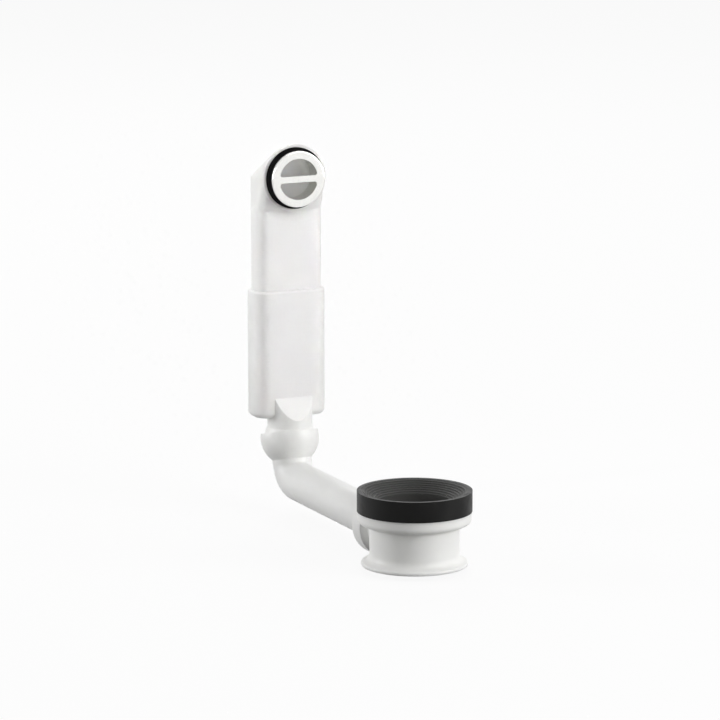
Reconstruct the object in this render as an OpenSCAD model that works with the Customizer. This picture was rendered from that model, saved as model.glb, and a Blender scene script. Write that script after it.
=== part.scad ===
// Washbasin overflow kit: a waste ring with a ribbed rubber seal, a swivelling elbow,
// a ball joint, a telescopic flat overflow tube and a screwed chrome rosette.
// The waste axis is Z, the underside of the waste ring is z = 0 and the tube stands at +Y.

/* [Waste seal] */
// Hole through which the waste barrel passes
waste_bore_d = 43.4; // [36:0.1:60]
// Outside diameter of the rubber seal
seal_d = 68; // [60:0.5:90]
// Height of the rubber seal above the ring
seal_h = 12.3; // [8:0.1:20]
// Width of the flat lip around the top of the seal
seal_lip_w = 2.4; // [1:0.1:6]
// Depth of the funnel in the seal
funnel_depth = 6.9; // [3:0.1:10]
// Number of fine ribs in the funnel
funnel_rib_n = 6; // [2:1:9]
// Height of each funnel rib
funnel_rib_h = 0.5; // [0.2:0.1:1]
// Depth of the skirt that centres the seal in the ring
seal_skirt_h = 4; // [2:0.5:8]
// Gap between the skirt and the ring
skirt_gap = 0.15; // [0.05:0.05:0.5]

/* [Waste ring] */
// Height of the ring from its underside to the seal
ring_h = 32.5; // [24:0.5:60]
// Outside diameter of the waist
waist_d = 53.2; // [50:0.2:70]
// Wall of the ring at the waist
ring_wall = 2.5; // [1.5:0.1:4]
// Thickness of the plate at the bottom of the ring
base_plate_t = 3; // [2:0.1:6]
// Diameter of the flange at the bottom
base_flange_d = 63; // [56:0.2:90]
// Height of the rim of the bottom flange
base_rim_h = 2.2; // [1.8:0.1:5]
// Distance that the seal stands out past the flange under it
seal_overhang = 0.4; // [0:0.1:3]
// Height of the rim of the top flange
top_rim_h = 7.4; // [4:0.1:10]
// Rounding of the lower edge of the top flange
top_edge_r = 3; // [0.5:0.1:3.5]
// Rounding of both edges of the bottom flange
base_edge_r = 0.8; // [0.2:0.1:0.9]
// Fillet between the top flange and the waist
top_fillet_r = 2.4; // [0.5:0.1:4]

/* [Side socket] */
// Height of the socket axis above the underside
socket_z = 15.5; // [13:0.1:30]
// Distance from the waste axis to the outer face of the socket cap
socket_face_y = 48; // [44:0.5:80]
// Depth of the socket from its outer face to the pipe stop
socket_depth = 20; // [16:0.5:40]
// Wall of the socket barrel
socket_wall = 3.2; // [2:0.1:4]
// Length of the flare from the socket barrel out to the cap
flare_l = 3.5; // [2:0.1:5]
// Outside diameter of the cap that holds the lip seal
cap_d = 37.6; // [36:0.2:50]
// Length of the cap
cap_l = 11; // [9:0.1:16]
// Thickness of the end wall of the cap
cap_end_t = 2.4; // [1.5:0.1:4]
// Wall around the side of the cap
cap_wall = 1.8; // [1.2:0.1:3]
// Wall of the seal housing under the cap
housing_wall = 1.8; // [1.2:0.1:3]
// Length of the lip seal
lip_seal_l = 4.5; // [3:0.1:6]
// Gap between the cap and the housing
cap_gap = 0.1; // [0.05:0.05:0.4]
// Gap between the elbow pipe and the hole in the cap
cap_hole_gap = 0.3; // [0.1:0.05:1]

/* [Elbow] */
// Outside diameter of the elbow pipe
pipe_d = 24; // [20:0.1:32]
// Wall of the elbow pipe
pipe_wall = 2; // [1.5:0.1:3]
// Gap between the end of the pipe and the stop in the socket
pipe_end_gap = 0.5; // [0.3:0.1:3]
// Radius of the bend along the pipe axis
bend_r = 13; // [12.8:0.1:20]
// Step from the bend up to the short stem under the cup
stem_step = 0.2; // [0.1:0.05:0.6]
// Lean of the elbow cup away from the waste, from upright
cup_lean = 13.5; // [0:0.5:30]
// Height of the ball centre above the underside of the ring
ball_z = 41; // [36:0.5:60]
// Diameter of the ball on the sleeve
ball_d = 31.4; // [28:0.1:40]
// Wall of the cup around the ball
cup_wall = 2.4; // [1.8:0.1:4]
// Height of the cup rim above the ball centre
cup_rim_h = 3.5; // [1:0.1:5]
// Radial running clearance of the pipe, the ball and the thread
run_gap = 0.08; // [0.02:0.01:0.1]

/* [Ball ring] */
// Thickness of the sealing ring in the ball
ball_ring_t = 3; // [2:0.1:4]
// Drop of the sealing ring below the ball centre
ball_ring_drop = 3; // [1:0.5:5]
// Gap between the sealing ring and its groove
ring_groove_gap = 0.05; // [0.02:0.01:0.2]

/* [Flat tube] */
// Distance from the waste axis to the middle of the flat tube
tube_y = 190; // [120:1:300]
// Width of the flat tube
tube_w = 43.5; // [36:0.5:70]
// Depth of the flat tube
tube_d = 18; // [14:0.5:26]
// Corner radius of the flat tube
tube_r = 6.5; // [3:0.5:7]
// Wall of the flat tube
tube_wall = 2; // [1.2:0.1:3]
// Height of the lower end of the flat tube
tube_foot_z = 107; // [100:1:115]
// Wall of the thickened foot that carries the sliding seal
foot_wall = 3.4; // [3:0.1:4]
// Length of the thickened foot
foot_l = 10; // [8:0.5:16]
// Height of the sliding seal
slide_seal_h = 3.5; // [2:0.5:5]
// Depth of the groove for the sliding seal
slide_groove = 1.3; // [0.8:0.1:1.5]
// Height of the sliding seal above the lower end of the tube
slide_seal_z = 3; // [2:0.5:4]
// Gap around the sliding seal
slide_seal_gap = 0.1; // [0.05:0.05:0.3]

/* [Sleeve] */
// Height of the underside of the sleeve
sleeve_z = 54.4; // [52:0.2:80]
// Length of the sleeve
sleeve_l = 79.8; // [60:0.2:160]
// Wall of the sleeve
sleeve_wall = 1.9; // [1.4:0.1:3]
// Gap between the tube and the sleeve on each side
sleeve_gap = 0.3; // [0.2:0.05:0.6]
// Rounding of the lower edges of the sleeve
sleeve_foot_r = 4; // [3:0.5:8]
// Rounding of the outer edge around the mouth of the sleeve
mouth_edge_r = 1.6; // [0.4:0.1:1.8]
// Distance that the neck axis stands in front of the middle of the sleeve
neck_offset = 5; // [2:0.5:6]
// Diameter of the neck
neck_d = 27.9; // [24:0.1:30]
// Wall of the neck
neck_wall = 2.5; // [1.8:0.1:4]
// Height above the sleeve underside where the sloping front starts
slope_top = 12.7; // [9:0.1:20]
// Angle of the sloping front from the horizontal
slope_angle = 60; // [50:1:70]
// Thickness of the sloping front
slope_wall = 2.2; // [1.5:0.1:3]

/* [Head] */
// Height of the overflow centre above the underside of the ring
overflow_z = 204.6; // [195:1:300]
// Distance that the flange face stands in front of the middle of the tube
flange_reach = 13.7; // [11:0.1:20]
// Diameter of the flange behind the gasket
flange_d = 41.4; // [40:0.2:48]
// Thickness of the flange rim
flange_rim_t = 2.2; // [1:0.1:4]
// Depth of the round chamber behind the flange face
chamber_depth = 5.4; // [5.3:0.1:7]
// Drop of the sloping back edge below the overflow centre
back_edge_drop = 0.2; // [0:0.2:8]
// Distance that the fillet under the flange runs down the front of the tube
flange_fillet_w = 7; // [2:0.5:10]

/* [Gasket and rosette] */
// Diameter of the gasket
gasket_d = 38; // [34:0.2:42]
// Thickness of the gasket
gasket_t = 4.4; // [2:0.1:6]
// Diameter of the front of the gasket, which tapers towards the rosette
gasket_front_d = 34.4; // [33:0.2:42]
// Gap between the gasket and the threaded spigot
gasket_gap = 0.3; // [0.1:0.05:1]
// Height of the straight edge at the back of the gasket
gasket_edge_h = 1.4; // [0.5:0.1:2]
// Diameter of the rosette
rosette_d = 34.8; // [32:0.2:38]
// Thickness of the rosette
rosette_t = 2.1; // [1.5:0.1:4]
// Rounding of the front edge of the rosette
rosette_edge_r = 0.8; // [0.2:0.1:1.2]
// Outside diameter of the threaded spigot
spigot_d = 28.8; // [27:0.1:30]
// Reach of the spigot into the head
spigot_reach = 5.1; // [3:0.1:5.2]
// Diameter of the two half-moon openings together
opening_d = 25.4; // [24.5:0.1:26.2]
// Width across the half-moon openings beside the bar
opening_w = 24.2; // [16:0.1:24.4]
// Height of the bar across the rosette
bar_h = 3.9; // [2:0.1:5.4]
// Corner radius of the half-moon openings beside the bar
opening_corner_r = 1.4; // [0.5:0.1:2.5]

/* [Hidden] */
$fn = 96;
// Sides of the circles that round small edges, and of those in the swelling head
small_fn = 32;
head_fn = 72;
// Overlap used where one solid is cut from another
cut = 1;
half_turn = 180;
white = [0.93, 0.93, 0.92];
black = [0.08, 0.08, 0.08];
silver = [0.8, 0.81, 0.82];

bore_r = waste_bore_d / 2;
waist_r = waist_d / 2;
chamber_r = waist_r - ring_wall;
base_flange_r = base_flange_d / 2;
base_fillet_r = base_flange_r - waist_r;
top_rim_z = ring_h - top_rim_h;
seal_r = seal_d / 2;
top_flange_r = seal_r - seal_overhang;
seal_top_z = ring_h + seal_h;
funnel_top_r = seal_r - seal_lip_w;
funnel_floor_z = seal_top_z - funnel_depth;

pipe_r = pipe_d / 2;
pipe_bore_r = pipe_r - pipe_wall;
socket_bore_r = pipe_r + run_gap;
socket_barrel_r = socket_bore_r + socket_wall;
stop_y = socket_face_y - socket_depth;
cap_r = cap_d / 2;
housing_r = cap_r - cap_wall - cap_gap;
housing_bore_r = housing_r - housing_wall;
cap_back_y = socket_face_y - cap_l;
flare_end_y = cap_back_y - cap_gap;
housing_end_y = socket_face_y - cap_end_t;
lip_seal_y = housing_end_y - lip_seal_l;
lip_seal_r = housing_bore_r - cap_gap;

ball_r = ball_d / 2;
cup_bore_r = ball_r + run_gap;
cup_r = cup_bore_r + cup_wall;
neck_y = tube_y - neck_offset;
neck_r = neck_d / 2;
neck_bore_r = neck_r - neck_wall;
leg_l = (ball_z - socket_z) / cos(cup_lean);
corner_y = neck_y - leg_l * sin(cup_lean);
bend_angle = 90 - cup_lean;
bend_setback = bend_r * tan(bend_angle / 2);
bend_start_y = corner_y - bend_setback;
ball_ring_r = ball_ring_t / 2;
ball_ring_path_r = sqrt(pow(cup_bore_r - ring_groove_gap - ball_ring_r, 2) - pow(ball_ring_drop, 2));

sleeve_in_w = tube_w + 2 * sleeve_gap;
sleeve_in_d = tube_d + 2 * sleeve_gap;
sleeve_in_r = tube_r + sleeve_gap;
sleeve_w = sleeve_in_w + 2 * sleeve_wall;
sleeve_d = sleeve_in_d + 2 * sleeve_wall;
sleeve_r = sleeve_in_r + sleeve_wall;
sleeve_floor_t = sleeve_wall;
sleeve_front_y = tube_y - sleeve_d / 2;

flange_y = tube_y - flange_reach;
flange_r = flange_d / 2;
spigot_r = spigot_d / 2;
head_bore_r = spigot_r + run_gap;
back_edge_z = overflow_z - back_edge_drop;
chamber_top_z = back_edge_z - tube_wall;
chamber_y = flange_y + chamber_depth;
head_back_y = flange_y + flange_rim_t / 2;
swell_z = overflow_z - flange_r;
tube_front_y = tube_y - tube_d / 2;
flange_fillet_t = tube_front_y - flange_y - flange_rim_t;
flange_fillet_r = (pow(flange_fillet_w, 2) + pow(flange_fillet_t, 2)) / (2 * flange_fillet_t);
flange_foot_r = flange_r + flange_fillet_w;
gasket_r = gasket_d / 2;
gasket_front_r = gasket_front_d / 2;
gasket_bore_r = spigot_r + gasket_gap;
rosette_back_y = flange_y - gasket_t;
rosette_r = rosette_d / 2;
opening_r = opening_d / 2;
spigot_l = gasket_t + spigot_reach;

// Upright bar with rounded vertical edges, standing on its middle
module rounded_bar(w, d, r, h) {
    translate([-w / 2 + r, -d / 2, 0])
        cube([w - 2 * r, d, h]);
    translate([-w / 2, -d / 2 + r, 0])
        cube([w, d - 2 * r, h]);
    for (sx = [-1, 1])
        for (sy = [-1, 1])
            translate([sx * (w / 2 - r), sy * (d / 2 - r), 0])
                cylinder(r = r, h = h);
}

// Upright section of a bar, drawn flat, with rounded lower and upper corners
module soft_section(w, h, low_r, high_r) {
    translate([-w / 2, low_r])
        square([w, h - low_r - high_r]);
    translate([-w / 2 + low_r, 0])
        square([w - 2 * low_r, h / 2]);
    translate([-w / 2 + high_r, h / 2])
        square([w - 2 * high_r, h / 2]);
    for (s = [-1, 1]) {
        translate([s * (w / 2 - low_r), low_r])
            circle(r = low_r);
        translate([s * (w / 2 - high_r), h - high_r])
            circle(r = high_r);
    }
}

// Upright bar with rounded vertical edges and softened lower and upper edges
module soft_bar(w, d, r, h, low_r, high_r) {
    translate([0, d / 2 - r, 0])
        rotate([90, 0, 0])
            linear_extrude(height = d - 2 * r)
                soft_section(w, h, low_r, high_r);
    translate([-w / 2 + r, 0, 0])
        rotate([90, 0, 90])
            linear_extrude(height = w - 2 * r)
                soft_section(d, h, low_r, high_r);
    for (sx = [-1, 1])
        for (sy = [-1, 1])
            translate([sx * (w / 2 - r), sy * (d / 2 - r), 0])
                rotate_extrude()
                    intersection() {
                        soft_section(2 * r, h, low_r, high_r);
                        square([r, h]);
                    }
}

// Cylinder that runs along +Y from y0 to y1 at a given height
module along_y(r, y0, y1, z) {
    translate([0, y0, z])
        rotate([-90, 0, 0])
            cylinder(r = r, h = y1 - y0);
}

// Outside of the waste ring: two flanges and a waist with fillets
module ring_outside() {
    cylinder(r = waist_r, h = ring_h);
    rotate_extrude()
        difference() {
            union() {
                translate([0, base_edge_r])
                    square([base_flange_r, base_rim_h - 2 * base_edge_r]);
                square([base_flange_r - base_edge_r, base_rim_h]);
                for (z = [base_edge_r, base_rim_h - base_edge_r])
                    translate([base_flange_r - base_edge_r, z])
                        circle(r = base_edge_r);
                square([waist_r + base_fillet_r - base_edge_r, base_rim_h + base_fillet_r]);
            }
            translate([base_flange_r, base_rim_h + base_fillet_r])
                circle(r = base_fillet_r);
        }
    translate([0, 0, top_rim_z + top_edge_r])
        cylinder(r = top_flange_r, h = top_rim_h - top_edge_r);
    translate([0, 0, top_rim_z])
        cylinder(r = top_flange_r - top_edge_r, h = top_rim_h);
    translate([0, 0, top_rim_z + top_edge_r])
        rotate_extrude()
            translate([top_flange_r - top_edge_r, 0])
                circle(r = top_edge_r);
    rotate_extrude()
        difference() {
            translate([0, top_rim_z - top_fillet_r])
                square([waist_r + top_fillet_r, top_fillet_r]);
            translate([waist_r + top_fillet_r, top_rim_z - top_fillet_r])
                circle(r = top_fillet_r);
        }
}

module waste_ring() {
    color(white)
        difference() {
            union() {
                ring_outside();
                intersection() {
                    along_y(socket_barrel_r, bore_r, cap_back_y + cut, socket_z);
                    translate([-cap_r, 0, base_rim_h / 2])
                        cube([cap_d, cap_back_y + cut, ring_h]);
                }
                translate([0, flare_end_y - flare_l, socket_z])
                    rotate([-90, 0, 0])
                        cylinder(r1 = socket_barrel_r, r2 = cap_r, h = flare_l);
                along_y(housing_r, cap_back_y - cut, housing_end_y, socket_z);
            }
            translate([0, 0, base_plate_t])
                cylinder(r = chamber_r, h = ring_h);
            translate([0, 0, -cut])
                cylinder(r = bore_r, h = ring_h);
            along_y(pipe_bore_r, 0, stop_y + cut, socket_z);
            along_y(socket_bore_r, stop_y, socket_face_y, socket_z);
            along_y(housing_bore_r, lip_seal_y, socket_face_y, socket_z);
        }
}

module waste_seal() {
    color(black)
        difference() {
            union() {
                translate([0, 0, ring_h])
                    cylinder(r = seal_r, h = seal_h);
                translate([0, 0, ring_h - seal_skirt_h])
                    cylinder(r = chamber_r - skirt_gap, h = seal_skirt_h + cut);
            }
            translate([0, 0, ring_h - seal_skirt_h - cut])
                cylinder(r = bore_r, h = seal_h + seal_skirt_h + 2 * cut);
            difference() {
                translate([0, 0, funnel_floor_z])
                    cylinder(r1 = bore_r, r2 = funnel_top_r, h = funnel_depth);
                funnel_ribs();
            }
        }
}

// Low round ribs that step down the funnel of the seal
module funnel_ribs() {
    for (i = [1 : funnel_rib_n])
        let (t = i / (funnel_rib_n + 1))
            translate([0, 0, funnel_floor_z + t * funnel_depth])
                rotate_extrude()
                    translate([bore_r + t * (funnel_top_r - bore_r), 0])
                        circle(r = funnel_rib_h, $fn = small_fn);
}

module socket_seal() {
    color(black)
        translate([0, lip_seal_y, socket_z])
            rotate([-90, 0, 0])
                difference() {
                    cylinder(r = lip_seal_r, h = lip_seal_l - cap_gap);
                    translate([0, 0, -cut])
                        cylinder(r = socket_bore_r, h = lip_seal_l + 2 * cut);
                    translate([0, 0, -cut])
                        cylinder(r1 = lip_seal_r - cut, r2 = socket_bore_r, h = lip_seal_l / 2 + cut);
                }
}

module socket_cap() {
    color(white)
        difference() {
            along_y(cap_r, cap_back_y, socket_face_y, socket_z);
            along_y(cap_r - cap_wall, cap_back_y - cut, housing_end_y, socket_z);
            along_y(pipe_r + cap_hole_gap, housing_end_y - cut, socket_face_y + cut, socket_z);
        }
}

// Places a solid in the frame of the leaning elbow cup
module at_cup() {
    translate([0, neck_y, ball_z])
        rotate([-cup_lean, 0, 0])
            children();
}

// Bent run of the elbow, as a solid rod of the given radius
module elbow_rod(r, y_end) {
    translate([0, bend_start_y, socket_z]) {
        translate([0, 0, bend_r])
            rotate([0, 90, 0])
                rotate_extrude(angle = bend_angle)
                    translate([bend_r, 0])
                        circle(r = r);
        rotate([90, 0, 0])
            cylinder(r = r, h = bend_start_y - y_end);
    }
    at_cup()
        translate([0, 0, -leg_l + bend_setback - stem_step])
            cylinder(r = r + stem_step, h = leg_l - bend_setback - cup_bore_r / 2);
}

module elbow() {
    color(white)
        difference() {
            union() {
                elbow_rod(pipe_r, stop_y + pipe_end_gap);
                at_cup()
                    sphere(r = cup_r);
            }
            at_cup()
                sphere(r = cup_bore_r);
            at_cup()
                translate([0, 0, cup_rim_h])
                    cylinder(r = cup_r + cut, h = cup_r);
            elbow_rod(pipe_bore_r, stop_y + pipe_end_gap - cut);
        }
}

// Path of the sealing ring in the ball, as a ring of the given thickness
module ring_path(r) {
    translate([0, neck_y, ball_z - ball_ring_drop])
        rotate_extrude()
            translate([ball_ring_path_r, 0])
                circle(r = r);
}

module ball_ring() {
    color(black)
        ring_path(ball_ring_r);
}

// Half-space above the sloping front of the neck, lowered by the given wall
module above_slope(wall) {
    translate([0, sleeve_front_y, sleeve_z + slope_top])
        rotate([slope_angle, 0, 0])
            translate([-neck_d, -2 * neck_d, -wall])
                cube([2 * neck_d, 4 * neck_d, 2 * neck_d]);
}

module sleeve() {
    color(white)
        difference() {
            union() {
                translate([0, tube_y, sleeve_z])
                    soft_bar(sleeve_w, sleeve_d, sleeve_r, sleeve_l, sleeve_foot_r, mouth_edge_r);
                difference() {
                    translate([0, neck_y, ball_z])
                        cylinder(r = neck_r, h = sleeve_z + slope_top - ball_z);
                    above_slope(0);
                }
                translate([0, neck_y, ball_z])
                    sphere(r = ball_r);
            }
            translate([0, tube_y, sleeve_z + sleeve_floor_t])
                rounded_bar(sleeve_in_w, sleeve_in_d, sleeve_in_r, sleeve_l);
            difference() {
                translate([0, neck_y, ball_z - ball_r])
                    cylinder(r = neck_bore_r, h = sleeve_z + slope_top - ball_z + ball_r);
                above_slope(slope_wall);
            }
            ring_path(ball_ring_r + ring_groove_gap);
        }
}

// Upright bar with the section of the flat tube, drawn in or out on every side
module tube_bar(inset, h) {
    rounded_bar(tube_w - 2 * inset, tube_d - 2 * inset, tube_r - inset, h);
}

module slide_seal() {
    color(black)
        translate([0, tube_y, tube_foot_z + slide_seal_z])
            difference() {
                tube_bar(slide_seal_gap - sleeve_gap, slide_seal_h);
                translate([0, 0, -cut])
                    tube_bar(slide_groove - slide_seal_gap, slide_seal_h + 2 * cut);
            }
}

// Swelling head between the flat tube and the round flange, shrunk by a wall
module head_form(wall, face_y, disc_r, disc_t, top_z, low_z) {
    hull($fn = head_fn) {
        translate([0, tube_y, low_z])
            tube_bar(wall, top_z - low_z);
        translate([0, face_y, overflow_z])
            rotate([-90, 0, 0])
                cylinder(r = disc_r, h = disc_t, $fn = head_fn);
    }
}

// Concave fillet where the round flange meets the front of the tube
module flange_fillet() {
    intersection() {
        translate([0, tube_front_y + tube_wall, overflow_z])
            rotate([90, 0, 0])
                difference() {
                    cylinder(r = flange_foot_r, h = tube_wall + flange_fillet_t);
                    translate([0, 0, tube_wall + flange_fillet_r])
                        rotate_extrude()
                            translate([flange_foot_r, 0])
                                circle(r = flange_fillet_r);
                }
        translate([-tube_w / 2 + tube_r, flange_y, overflow_z - flange_foot_r])
            cube([tube_w - 2 * tube_r, tube_front_y + tube_wall - flange_y, flange_foot_r]);
    }
}

module overflow_tube() {
    color(white)
        difference() {
            union() {
                translate([0, tube_y, tube_foot_z])
                    tube_bar(0, swell_z - tube_foot_z + cut);
                head_form(0, head_back_y, flange_r, flange_rim_t / 2, back_edge_z, swell_z);
                along_y(flange_r, flange_y, flange_y + flange_rim_t, overflow_z);
                flange_fillet();
            }
            translate([0, tube_y, tube_foot_z + foot_l])
                tube_bar(tube_wall, swell_z - tube_foot_z - foot_l + 2 * cut);
            translate([0, tube_y, tube_foot_z - cut])
                tube_bar(foot_wall, foot_l + 2 * cut);
            head_form(tube_wall, chamber_y - cut, head_bore_r, cut, chamber_top_z, swell_z + cut);
            along_y(head_bore_r, flange_y - cut, chamber_y, overflow_z);
            translate([0, tube_y, tube_foot_z + slide_seal_z - slide_seal_gap])
                difference() {
                    tube_bar(-cut, slide_seal_h + 2 * slide_seal_gap);
                    tube_bar(slide_groove, slide_seal_h + 2 * slide_seal_gap);
                }
        }
}

module rosette_gasket() {
    color(black)
        translate([0, flange_y, overflow_z])
            rotate([90, 0, 0])
                rotate_extrude()
                    polygon([
                        [gasket_bore_r, 0],
                        [gasket_r, 0],
                        [gasket_r, gasket_edge_h],
                        [gasket_front_r, gasket_t],
                        [gasket_bore_r, gasket_t]
                    ]);
}

// One half-moon opening above the bar, drawn flat
module half_moon() {
    intersection() {
        circle(r = opening_r);
        union() {
            translate([-opening_w / 2, bar_h / 2 + opening_corner_r])
                square([opening_w, opening_r]);
            translate([-opening_w / 2 + opening_corner_r, bar_h / 2])
                square([opening_w - 2 * opening_corner_r, opening_r]);
            for (s = [-1, 1])
                translate([s * (opening_w / 2 - opening_corner_r), bar_h / 2 + opening_corner_r])
                    circle(r = opening_corner_r, $fn = small_fn);
        }
    }
}

module rosette() {
    color(silver)
        translate([0, rosette_back_y, overflow_z])
            rotate([90, 0, 0])
                difference() {
                    union() {
                        cylinder(r = rosette_r, h = rosette_t - rosette_edge_r);
                        cylinder(r = rosette_r - rosette_edge_r, h = rosette_t);
                        translate([0, 0, rosette_t - rosette_edge_r])
                            rotate_extrude()
                                translate([rosette_r - rosette_edge_r, 0])
                                    circle(r = rosette_edge_r, $fn = small_fn);
                        translate([0, 0, -spigot_l])
                            cylinder(r = spigot_r, h = spigot_l + cut);
                    }
                    translate([0, 0, -spigot_l - cut])
                        cylinder(r = opening_r, h = spigot_l + cut);
                    for (turn = [0, half_turn])
                        rotate([0, 0, turn])
                            translate([0, 0, -cut])
                                linear_extrude(height = rosette_t + 2 * cut)
                                    half_moon();
                }
}

waste_ring();
waste_seal();
socket_seal();
socket_cap();
elbow();
ball_ring();
sleeve();
slide_seal();
overflow_tube();
rosette_gasket();
rosette();
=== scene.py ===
"""Looks of a washbasin overflow kit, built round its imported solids.

The waste ring, its seal, the elbow, the telescopic flat tube and the screwed rosette are
dressed in the finishes of the real kit: satin moulded polypropylene, matt moulded rubber and
bright chrome plate. A plain studio and the camera of the photograph come last.
"""

from __future__ import annotations

import logging
import math
from dataclasses import dataclass, field
from enum import Enum

import bpy
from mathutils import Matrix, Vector


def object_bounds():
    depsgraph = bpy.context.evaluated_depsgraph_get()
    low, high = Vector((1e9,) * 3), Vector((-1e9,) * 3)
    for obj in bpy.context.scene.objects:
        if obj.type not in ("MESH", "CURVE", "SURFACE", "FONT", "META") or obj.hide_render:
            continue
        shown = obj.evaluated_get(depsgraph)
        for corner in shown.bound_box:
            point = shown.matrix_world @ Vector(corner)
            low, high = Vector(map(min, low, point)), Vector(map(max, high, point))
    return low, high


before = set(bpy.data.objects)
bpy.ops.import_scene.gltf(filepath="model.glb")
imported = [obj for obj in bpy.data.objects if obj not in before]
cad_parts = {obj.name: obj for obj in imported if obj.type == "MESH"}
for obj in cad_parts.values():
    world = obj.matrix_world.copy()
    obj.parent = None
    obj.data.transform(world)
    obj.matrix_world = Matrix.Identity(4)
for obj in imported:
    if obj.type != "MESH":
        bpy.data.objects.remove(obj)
CAD_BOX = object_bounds()

MM = 0.001
LOG = logging.getLogger("overflow_kit")

# Where the lamps and the camera are aimed, and the middle of the flat tube, in metres.
KIT_MIDDLE = (0.0, 0.090, 0.1155)
TUBE_MIDDLE = (0.0, 0.180, 0.145)

# Most values of a noise texture lie between these two.
NOISE_LOW, NOISE_HIGH = 0.3, 0.7

# Sockets of a Mix node that mixes two colours.
MIX_SHARE, MIX_FIRST, MIX_SECOND, MIX_RESULT = 0, 6, 7, 2


def linear_colour(code: str) -> tuple[float, float, float, float]:
    """Turns an sRGB hex code into the linear colour that a shader takes.

    The numbers in it are those of the sRGB standard.

    Args:
        code: Six hex digits, two each for red, green and blue.

    Returns:
        Linear red, green, blue and an alpha of one.
    """
    parts = [int(code[i : i + 2], 16) / 255 for i in (0, 2, 4)]
    linear = [p / 12.92 if p <= 0.04045 else ((p + 0.055) / 1.055) ** 2.4 for p in parts]
    return (linear[0], linear[1], linear[2], 1.0)


def per_metre(size_mm: float) -> float:
    """Scale of a texture in metres whose features measure size_mm.

    Args:
        size_mm: Real size of one feature, in millimetres.

    Returns:
        The texture node's scale.
    """
    return 1 / (size_mm * MM)


def add_node(
    tree: bpy.types.NodeTree,
    kind: str,
    settings: dict | None = None,
    links: dict | None = None,
) -> bpy.types.Node:
    """Adds one shader node, sets it up and wires its inputs.

    Args:
        tree: Node tree that the node joins.
        kind: Blender's identifier of the node.
        settings: Values by input name, input number or attribute name.
        links: Output sockets by input name or input number.

    Returns:
        The new node.
    """
    node = tree.nodes.new(kind)
    for name, value in (settings or {}).items():
        if isinstance(name, int) or name in node.inputs:
            node.inputs[name].default_value = value
        else:
            setattr(node, name, value)
    for name, socket in (links or {}).items():
        tree.links.new(socket, node.inputs[name])
    return node


def direction(azimuth: float, elevation: float) -> Vector:
    """Args:
        elevation: Angle above the floor, in degrees.

    Returns:
        The direction.
    """
    turn, rise = math.radians(azimuth), math.radians(elevation)
    level = math.cos(rise)
    return Vector((math.sin(turn) * level, -math.cos(turn) * level, math.sin(rise)))


class Look(Enum):
    PLASTIC = "satin white plastic"
    # The funnel's lighter grey is painted light, standing in for the light that falls on it and
    # its glancing reflection.
    FUNNEL_RUBBER = "rubber with a funnel painted lighter"
    SEAL_RUBBER = "moulded rubber"
    SOFT_RUBBER = "dull soft rubber"
    CHROME = "bright chrome"


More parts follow.
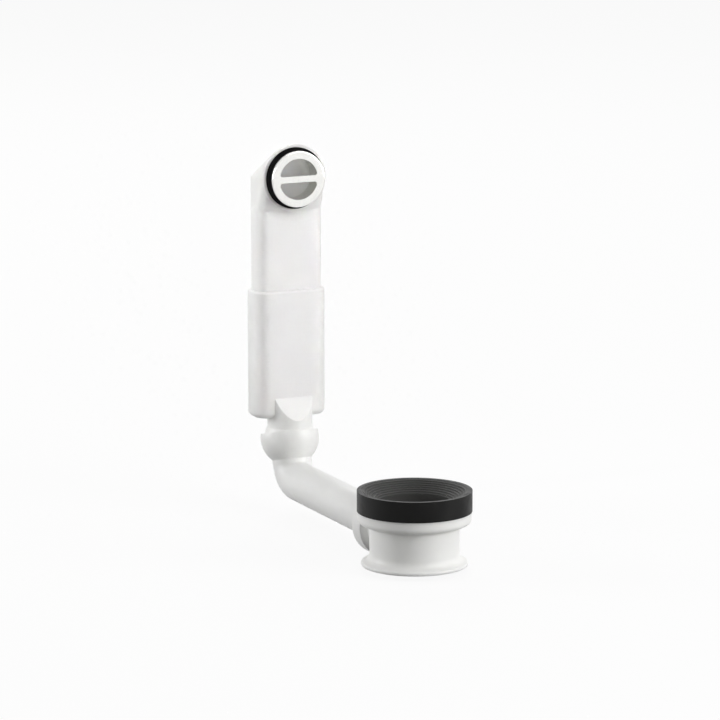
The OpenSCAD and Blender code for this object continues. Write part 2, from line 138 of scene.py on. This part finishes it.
@dataclass(frozen=True)
class Finish:
    """What every finish has: a name and the start of its node tree."""

    name: str

    def start(self) -> tuple[bpy.types.Material, bpy.types.NodeTree, bpy.types.NodeSocket]:
        """Makes an empty material and its object coordinates.

        Returns:
            The material, its node tree and the coordinate socket.
        """
        material = bpy.data.materials.new(self.name)
        material.use_nodes = True
        tree = material.node_tree
        tree.nodes.clear()
        place = add_node(tree, "ShaderNodeTexCoord")
        return material, tree, place.outputs["Object"]

    def noise(
        self, tree: bpy.types.NodeTree, place: bpy.types.NodeSocket, size_mm: float, detail: float
    ) -> bpy.types.NodeSocket:
        """Soft noise with features of a real size.

        Args:
            tree: Node tree that the noise joins.
            place: Coordinates that the noise reads.
            size_mm: Size of its features, in millimetres.
            detail: Number of finer layers.

        Returns:
            The noise value, around one half.
        """
        settings = {"Scale": per_metre(size_mm), "Detail": detail}
        return add_node(tree, "ShaderNodeTexNoise", settings, {"Vector": place}).outputs[0]

    def spread(
        self, tree: bpy.types.NodeTree, value: bpy.types.NodeSocket, low: float, high: float
    ) -> bpy.types.NodeSocket:
        """Spreads a noise value over a wanted range.

        Args:
            tree: Node tree that the step joins.
            value: Noise value, most of it between NOISE_LOW and NOISE_HIGH.
            low: Result at the low end.
            high: Result at the high end.

        Returns:
            The spread value.
        """
        settings = {"From Min": NOISE_LOW, "From Max": NOISE_HIGH, "To Min": low, "To Max": high}
        return add_node(tree, "ShaderNodeMapRange", settings, {"Value": value}).outputs[0]

    def two_tone(
        self, tree: bpy.types.NodeTree, value: bpy.types.NodeSocket, first: str, second: str
    ) -> bpy.types.NodeSocket:
        """Mixes two hex colours by a value.

        Args:
            tree: Node tree that the mix joins.
            value: Share of the second colour.
            first: Hex code of the first colour.
            second: Hex code of the second colour.

        Returns:
            The mixed colour.
        """
        tones = {MIX_FIRST: linear_colour(first), MIX_SECOND: linear_colour(second)}
        settings = {"data_type": "RGBA", **tones}
        return add_node(tree, "ShaderNodeMix", settings, {MIX_SHARE: value}).outputs[MIX_RESULT]

    def bump(
        self,
        tree: bpy.types.NodeTree,
        height: bpy.types.NodeSocket,
        strength: float,
        depth_mm: float,
        below: bpy.types.NodeSocket | None = None,
    ) -> bpy.types.NodeSocket:
        """Fine relief of the surface.

        Args:
            tree: Node tree that the relief joins.
            height: Pattern of heights, between zero and one.
            strength: Share of the relief that takes effect.
            depth_mm: Depth of the relief, in millimetres.
            below: Normal of a coarser relief under this one.

        Returns:
            The normal of the surface.
        """
        settings = {"Strength": strength, "Distance": depth_mm * MM}
        links = {"Height": height}
        if below is not None:
            links["Normal"] = below
        return add_node(tree, "ShaderNodeBump", settings, links).outputs[0]

    def close(
        self,
        material: bpy.types.Material,
        tree: bpy.types.NodeTree,
        settings: dict,
        links: dict,
    ) -> bpy.types.Material:
        """Adds the surface shader and the output.

        Args:
            material: Material that is finished.
            tree: Its node tree.
            settings: Constant values of the surface shader.
            links: Patterns that drive the surface shader.

        Returns:
            The finished material.
        """
        surface = add_node(tree, "ShaderNodeBsdfPrincipled", settings, links)
        add_node(tree, "ShaderNodeOutputMaterial", links={"Surface": surface.outputs[0]})
        return material


@dataclass(frozen=True)
class MouldedPolypropylene(Finish):
    """White polypropylene, injection moulded in a finely spark-eroded steel mould.

    To the eye it is a milky white with a soft satin gloss. Light enters it a little, so edges
    and shadows stay soft, and the tone drifts faintly where the melt cooled at another speed.
    """

    name: str = "satin_moulded_polypropylene"
    tone: str = "f4f4f1"
    cool_tone: str = "eeeeeb"
    drift_mm: float = 38
    gloss_patch_mm: float = 9
    smoothest: float = 0.36
    roughest: float = 0.46
    grain_mm: float = 0.45
    grain_depth_mm: float = 0.012
    grain_strength: float = 0.6
    sink_mm: float = 14
    sink_depth_mm: float = 0.03
    sink_strength: float = 0.5
    ior: float = 1.49
    light_depth_mm: float = 4
    light_share: float = 0.7
    light_tint: tuple[float, float, float] = (1.0, 1.0, 0.95)

    def build(self) -> bpy.types.Material:
        """Builds the finish.

        Returns:
            The material.
        """
        material, tree, place = self.start()
        drift = self.spread(tree, self.noise(tree, place, self.drift_mm, detail=2), 0, 1)
        colour = self.two_tone(tree, drift, self.tone, self.cool_tone)
        patches = self.noise(tree, place, self.gloss_patch_mm, detail=3)
        roughness = self.spread(tree, patches, self.smoothest, self.roughest)
        hollows = self.noise(tree, place, self.sink_mm, detail=0)
        sink = self.bump(tree, hollows, self.sink_strength, self.sink_depth_mm)
        grains = self.noise(tree, place, self.grain_mm, detail=2)
        grain = self.bump(tree, grains, self.grain_strength, self.grain_depth_mm, sink)
        settings = {
            "IOR": self.ior,
            "Subsurface Weight": self.light_share,
            "Subsurface Radius": self.light_tint,
            "Subsurface Scale": self.light_depth_mm * MM,
        }
        links = {"Base Color": colour, "Roughness": roughness, "Normal": grain}
        return self.close(material, tree, settings, links)


@dataclass(frozen=True)
class MouldedRubber(Finish):
    """Black EPDM rubber, compression moulded.

    To the eye it is a deep black that turns grey where it is seen at a glancing angle, with a
    fine grain from the mould and a faint grey bloom in patches.
    """

    name: str = "moulded_rubber"
    tone: str = "0b0b0b"
    bloom: str = "141413"
    bloom_mm: float = 11
    gloss_patch_mm: float = 5
    smoothest: float = 0.38
    roughest: float = 0.5
    gloss: float = 0.12
    ior: float = 1.52
    grain_mm: float = 0.5
    grain_depth_mm: float = 0.02
    grain_strength: float = 0.7

    def tint(
        self, tree: bpy.types.NodeTree, place: bpy.types.NodeSocket
    ) -> bpy.types.NodeSocket:
        """Black with a grey bloom in patches.

        Args:
            tree: Node tree that the colour joins.
            place: Coordinates that the patches read.

        Returns:
            The colour.
        """
        bloom = self.spread(tree, self.noise(tree, place, self.bloom_mm, detail=4), 0, 1)
        return self.two_tone(tree, bloom, self.tone, self.bloom)

    def build(self) -> bpy.types.Material:
        """Builds the finish.

        Returns:
            The material.
        """
        material, tree, place = self.start()
        colour = self.tint(tree, place)
        patches = self.noise(tree, place, self.gloss_patch_mm, detail=3)
        roughness = self.spread(tree, patches, self.smoothest, self.roughest)
        grains = self.noise(tree, place, self.grain_mm, detail=2)
        grain = self.bump(tree, grains, self.grain_strength, self.grain_depth_mm)
        settings = {"IOR": self.ior, "Specular IOR Level": self.gloss}
        links = {"Base Color": colour, "Roughness": roughness, "Normal": grain}
        return self.close(material, tree, settings, links)


@dataclass(frozen=True)
class FunnelRubber(MouldedRubber):
    """The rubber of the waste seal, its ribbed funnel painted a lighter grey.

    The wall is a deep black. Within the radius of the funnel the colour is painted light: a dull
    dark grey that stands in for the light from above and the glancing reflection that the funnel
    catches.
    """

    name: str = "funnel_rubber_with_painted_light"
    # Painted light: the lighter grey given to the funnel stands in for the light from above and
    # its glancing reflection.
    funnel_painted_light_tone: str = "474746"
    funnel_radius_mm: float = 31.6
    fade_mm: float = 0.4

    def tint(
        self, tree: bpy.types.NodeTree, place: bpy.types.NodeSocket
    ) -> bpy.types.NodeSocket:
        """Black with a grey bloom, and within the radius of the funnel a dark grey of painted
        light.

        Args:
            tree: Node tree that the colour joins.
            place: Coordinates that the patches and the radius read.

        Returns:
            The colour.
        """
        wall = super().tint(tree, place)
        flat = {"operation": "MULTIPLY", 1: (1, 1, 0)}
        level = add_node(tree, "ShaderNodeVectorMath", flat, {0: place})
        links = {0: level.outputs["Vector"]}
        radius = add_node(tree, "ShaderNodeVectorMath", {"operation": "LENGTH"}, links)
        edges = {
            "From Min": (self.funnel_radius_mm - self.fade_mm) * MM,
            "From Max": self.funnel_radius_mm * MM,
            "To Min": 1,
            "To Max": 0,
        }
        links = {"Value": radius.outputs["Value"]}
        painted_light_mask = add_node(tree, "ShaderNodeMapRange", edges, links)
        # Painted light: within the funnel's radius the colour is mixed to the lighter grey.
        settings = {"data_type": "RGBA", MIX_SECOND: linear_colour(self.funnel_painted_light_tone)}
        links = {MIX_SHARE: painted_light_mask.outputs[0], MIX_FIRST: wall}
        return add_node(tree, "ShaderNodeMix", settings, links).outputs[MIX_RESULT]


@dataclass(frozen=True)
class SoftRubber(MouldedRubber):
    """Soft black rubber of the gaskets, cut and buffed.

    To the eye it is the same black without any gloss, and its grain is coarser.
    """

    name: str = "dull_soft_rubber"
    tone: str = "090909"
    bloom: str = "101010"
    smoothest: float = 0.75
    roughest: float = 0.9
    gloss: float = 0.04
    grain_mm: float = 0.8
    grain_depth_mm: float = 0.05


@dataclass(frozen=True)
class PlatedChrome(Finish):
    """Bright chrome plate on moulded plastic.

    To the eye it is a pale, slightly clouded mirror. The plastic below it is never quite flat,
    so reflections bend a little, and polishing leaves a faint haze in patches.
    """

    name: str = "bright_chrome_plate"
    tone: str = "e9e9e6"
    haze: str = "e2e2df"
    haze_mm: float = 2.5
    smoothest: float = 0.16
    roughest: float = 0.24
    wave_mm: float = 7
    wave_depth_mm: float = 0.02
    wave_strength: float = 0.5

    def build(self) -> bpy.types.Material:
        """Builds the finish.

        Returns:
            The material.
        """
        material, tree, place = self.start()
        haze = self.spread(tree, self.noise(tree, place, self.haze_mm, detail=4), 0, 1)
        colour = self.two_tone(tree, haze, self.tone, self.haze)
        roughness = self.spread(tree, haze, self.smoothest, self.roughest)
        waves = self.noise(tree, place, self.wave_mm, detail=1)
        wave = self.bump(tree, waves, self.wave_strength, self.wave_depth_mm)
        settings = {"Metallic": 1.0}
        links = {"Base Color": colour, "Roughness": roughness, "Normal": wave}
        return self.close(material, tree, settings, links)


@dataclass
class Finishes:
    built: dict[Look, bpy.types.Material] = field(default_factory=dict)

    def build(self) -> "Finishes":
        """Builds every finish.

        Returns:
            These finishes, ready for use.
        """
        self.built[Look.PLASTIC] = MouldedPolypropylene().build()
        self.built[Look.FUNNEL_RUBBER] = FunnelRubber().build()
        self.built[Look.SEAL_RUBBER] = MouldedRubber().build()
        self.built[Look.SOFT_RUBBER] = SoftRubber().build()
        self.built[Look.CHROME] = PlatedChrome().build()
        return self

    def dress(self, piece: bpy.types.Object, look: Look) -> None:
        """Gives a piece one of the finishes.

        Args:
            piece: Mesh that is dressed.
            look: Finish that it takes.
        """
        piece.data.materials.clear()
        piece.data.materials.append(self.built[look])


@dataclass
class SubAssembly:
    """A group of solids that is dressed together."""

    finishes: Finishes
    dressed: dict[str, Look]

    def build(self) -> None:
        """Gives each solid of the group its finish and reports it."""
        for name, look in self.dressed.items():
            self.finishes.dress(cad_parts[name], look)
            LOG.info("dressed %s in %s", name, look.value)


@dataclass
class WasteRing(SubAssembly):
    """Waste ring with its rubber seal, the side socket's lip seal and the socket cap."""

    dressed: dict[str, Look] = field(
        default_factory=lambda: {
            "waste_ring": Look.PLASTIC,
            "waste_seal": Look.FUNNEL_RUBBER,
            "socket_seal": Look.SEAL_RUBBER,
            "socket_cap": Look.PLASTIC,
        }
    )


@dataclass
class ElbowJoint(SubAssembly):
    """Bent pipe with the ball cup, and the rubber ring inside it."""

    dressed: dict[str, Look] = field(
        default_factory=lambda: {"elbow": Look.PLASTIC, "ball_ring": Look.SEAL_RUBBER}
    )


@dataclass
class TelescopicTube(SubAssembly):
    """Sleeve with the ball, the flat tube in it and the sliding seal between them."""

    dressed: dict[str, Look] = field(
        default_factory=lambda: {
            "sleeve": Look.PLASTIC,
            "slide_seal": Look.SEAL_RUBBER,
            "overflow_tube": Look.PLASTIC,
        }
    )


@dataclass
class ScrewedRosette(SubAssembly):
    """Chrome rosette with its threaded spigot, and the tapered gasket behind it."""

    dressed: dict[str, Look] = field(
        default_factory=lambda: {"rosette_gasket": Look.SOFT_RUBBER, "rosette": Look.CHROME}
    )


@dataclass(frozen=True)
class SoftLamp:
    """One square softbox of the studio.

    Its angles are in degrees, azimuth zero is in front of the rosette, its lengths are in metres
    and its power is in watts. A grid narrows the beam to grid_angle, so that the lamp reaches
    only what it is aimed at.
    """

    name: str
    azimuth: float
    elevation: float
    power: float
    size: float = 1.0
    distance: float = 2.2
    grid_angle: float = 180.0
    aim: tuple[float, float, float] = KIT_MIDDLE

    def build(self) -> None:
        """Adds the lamp and turns it towards its aim."""
        data = bpy.data.lights.new(self.name, "AREA")
        data.shape = "SQUARE"
        data.size = self.size
        data.energy = self.power
        data.spread = math.radians(self.grid_angle)
        lamp = bpy.data.objects.new(self.name, data)
        bpy.context.scene.collection.objects.link(lamp)
        back = direction(self.azimuth, self.elevation)
        lamp.location = Vector(self.aim) + back * self.distance
        lamp.rotation_euler = back.to_track_quat("Z", "Y").to_euler()


@dataclass(frozen=True)
class Studio:
    """Pale floor, soft lamps and the camera of the photograph.

    Its angles are in degrees, the lens and the sensor in millimetres, other lengths in metres.
    """

    floor_size: float = 60.0
    floor_tone: str = "f6f6f6"
    bounce_tone: str = "7c7c7c"
    floor_own_light: float = 0.91
    sky_tone: str = "ffffff"
    ambient: float = 0.38
    tube_lamp_size: float = 0.2
    tube_lamp_grid: float = 5.0
    azimuth: float = -24.03
    elevation: float = 10.89
    distance: float = 3.0
    turn_right: float = 0.09
    turn_down: float = 0.17
    lens: float = 250.0
    sensor: float = 36.0
    nearest: float = 0.1
    farthest: float = 100.0

    def build(self) -> None:
        """Builds the floor, the world, the lamps and the camera."""
        self.floor()
        self.world()
        for lamp in self.lamps():
            lamp.build()
        self.camera()
        LOG.info("studio and camera are set")

    def lamps(self) -> list[SoftLamp]:
        """Returns:
            The lamps, the strongest first.
        """
        tube = {
            "size": self.tube_lamp_size,
            "grid_angle": self.tube_lamp_grid,
            "aim": TUBE_MIDDLE,
        }
        return [
            SoftLamp("right_lamp", azimuth=47, elevation=9, power=24),
            SoftLamp("left_lamp", azimuth=-120, elevation=12, power=24),
            SoftLamp("front_lamp", azimuth=30, elevation=24, power=12),
            SoftLamp("back_lamp", azimuth=165, elevation=35, power=10),
            SoftLamp("high_lamp", azimuth=60, elevation=50, power=2.4, size=0.7),
            SoftLamp("tube_lamp", azimuth=-20, elevation=10, power=0.036, **tube),
            SoftLamp("tube_side_lamp", azimuth=-90, elevation=25, power=0.013, **tube),
        ]

    def seen_ray(self, tree: bpy.types.NodeTree) -> bpy.types.NodeSocket:
        """One for rays of the camera, of gloss and of glass, and zero for the rest.

        Args:
            tree: Node tree that the steps join.

        Returns:
            The largest of the three kinds of ray.
        """
        path = add_node(tree, "ShaderNodeLightPath")
        camera, gloss = path.outputs["Is Camera Ray"], path.outputs["Is Glossy Ray"]
        both = add_node(tree, "ShaderNodeMath", {"operation": "MAXIMUM"}, {0: camera, 1: gloss})
        glass = path.outputs["Is Transmission Ray"]
        links = {0: both.outputs[0], 1: glass}
        return add_node(tree, "ShaderNodeMath", {"operation": "MAXIMUM"}, links).outputs[0]

    def floor(self) -> None:
        bpy.ops.object.select_all(action="DESELECT")
        lowest = CAD_BOX[0][2]
        bpy.ops.mesh.primitive_plane_add(size=self.floor_size, location=(0, 0, lowest))
        floor = bpy.context.object
        floor.name = "floor"
        material = bpy.data.materials.new("pale_floor")
        material.use_nodes = True
        tree = material.node_tree
        tree.nodes.clear()
        seen = self.seen_ray(tree)
        bounce, shown = linear_colour(self.bounce_tone), linear_colour(self.floor_tone)
        settings = {"data_type": "RGBA", MIX_FIRST: bounce, MIX_SECOND: shown}
        tone = add_node(tree, "ShaderNodeMix", settings, {MIX_SHARE: seen})
        plain = add_node(tree, "ShaderNodeBsdfDiffuse", links={"Color": tone.outputs[MIX_RESULT]})
        bright = add_node(tree, "ShaderNodeEmission")
        settings = {"operation": "MULTIPLY", 1: self.floor_own_light}
        share = add_node(tree, "ShaderNodeMath", settings, {0: seen})
        links = {0: share.outputs[0], 1: plain.outputs[0], 2: bright.outputs[0]}
        mix = add_node(tree, "ShaderNodeMixShader", links=links)
        add_node(tree, "ShaderNodeOutputMaterial", links={"Surface": mix.outputs[0]})
        floor.data.materials.append(material)

    def world(self) -> None:
        """Sets an even soft light all round, white where it is seen or mirrored."""
        world = bpy.data.worlds.new("soft_studio")
        bpy.context.scene.world = world
        world.use_nodes = True
        tree = world.node_tree
        tree.nodes.clear()
        settings = {"To Min": self.ambient, "To Max": 1.0}
        level = add_node(tree, "ShaderNodeMapRange", settings, {"Value": self.seen_ray(tree)})
        settings = {"Color": linear_colour(self.sky_tone)}
        links = {"Strength": level.outputs[0]}
        glow = add_node(tree, "ShaderNodeBackground", settings, links)
        add_node(tree, "ShaderNodeOutputWorld", links={"Surface": glow.outputs[0]})

    def camera(self) -> None:
        """Places the camera where the photograph was taken from."""
        data = bpy.data.cameras.new("photograph_view")
        data.lens = self.lens
        data.sensor_width = self.sensor
        data.clip_start, data.clip_end = self.nearest, self.farthest
        camera = bpy.data.objects.new("photograph_view", data)
        bpy.context.scene.collection.objects.link(camera)
        back = direction(self.azimuth, self.elevation)
        ahead = -back
        right = ahead.cross(Vector((0, 0, 1))).normalized()
        above = right.cross(ahead)
        ahead = (ahead + right * math.tan(math.radians(self.turn_right))).normalized()
        ahead = (ahead - above * math.tan(math.radians(self.turn_down))).normalized()
        camera.location = Vector(KIT_MIDDLE) + back * self.distance
        camera.rotation_euler = ahead.to_track_quat("-Z", "Y").to_euler()
        bpy.context.scene.camera = camera


def main() -> None:
    logging.basicConfig(level=logging.INFO)
    bpy.context.scene.view_settings.view_transform = "Standard"
    finishes = Finishes().build()
    for group in (WasteRing, ElbowJoint, TelescopicTube, ScrewedRosette):
        group(finishes).build()
    Studio().build()


if __name__ == "__main__":
    main()
